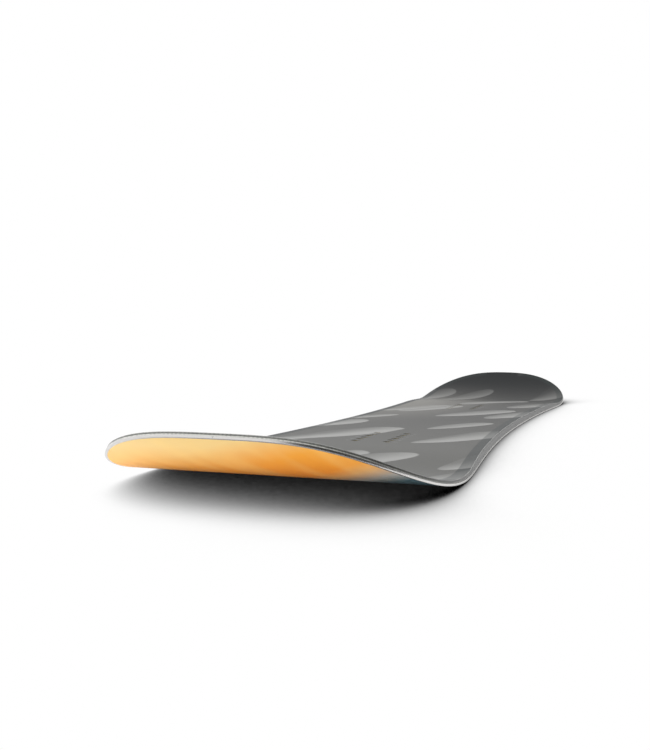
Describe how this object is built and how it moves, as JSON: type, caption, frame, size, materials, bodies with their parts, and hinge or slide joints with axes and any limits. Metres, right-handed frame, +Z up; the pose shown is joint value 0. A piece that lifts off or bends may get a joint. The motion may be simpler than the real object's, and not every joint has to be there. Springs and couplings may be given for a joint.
{
  "type": "snowboard",
  "caption": "Directional snowboard without bindings: pressed wood-core sandwich with steel edges, upturned nose and tail, and threaded inserts in the deck.",
  "frame": {"origin": "on the ground under the middle of the board's box, which lies on the lengthwise middle line", "axes": "+X toward the nose, +Y toward the board's left, +Z up out of the topsheet"},
  "size_m": [1.52, 0.316, 0.0616],
  "materials": {
    "base_polyethylene": "ground and waxed, printed in a fade from amber to teal",
    "edge_steel": "ground",
    "lower_glass_fibre": "glass fibre in epoxy resin",
    "upper_glass_fibre": "glass fibre in epoxy resin",
    "poplar": "sanded, glued",
    "beech": "sanded, glued",
    "insert_steel": "plain, turned",
    "sidewall_plastic": "milled, satin",
    "nose_spacer_plastic": "milled, satin",
    "tail_spacer_plastic": "milled, satin",
    "topsheet_film": "satin, printed in greys"
  },
  "bodies": {
    "root": {"base": "base_polyethylene", "lower_laminate": "lower_glass_fibre", "upper_laminate": "upper_glass_fibre", "topsheet": "topsheet_film", "sidewall_left": "sidewall_plastic", "sidewall_right": "sidewall_plastic", "steel_edge_left": "edge_steel", "steel_edge_right": "edge_steel", "nose_spacer": "nose_spacer_plastic", "tail_spacer": "tail_spacer_plastic", "core_strip_centre": "poplar", "core_strip_left_1": "beech", "core_strip_left_2": "poplar", "core_strip_left_3": "poplar", "core_strip_left_4": "poplar", "core_strip_left_5": "poplar", "core_strip_right_1": "beech", "core_strip_right_2": "poplar", "core_strip_right_3": "poplar", "core_strip_right_4": "poplar", "core_strip_right_5": "poplar", "insert_front_left_1": "insert_steel", "insert_front_left_2": "insert_steel", "insert_front_left_3": "insert_steel", "insert_front_left_4": "insert_steel", "insert_front_left_5": "insert_steel", "insert_front_left_6": "insert_steel", "insert_front_right_1": "insert_steel", "insert_front_right_2": "insert_steel", "insert_front_right_3": "insert_steel", "insert_front_right_4": "insert_steel", "insert_front_right_5": "insert_steel", "insert_front_right_6": "insert_steel", "insert_rear_left_1": "insert_steel", "insert_rear_left_2": "insert_steel", "insert_rear_left_3": "insert_steel", "insert_rear_left_4": "insert_steel", "insert_rear_left_5": "insert_steel", "insert_rear_left_6": "insert_steel", "insert_rear_right_1": "insert_steel", "insert_rear_right_2": "insert_steel", "insert_rear_right_3": "insert_steel", "insert_rear_right_4": "insert_steel", "insert_rear_right_5": "insert_steel", "insert_rear_right_6": "insert_steel"}
  },
  "joints": []
}
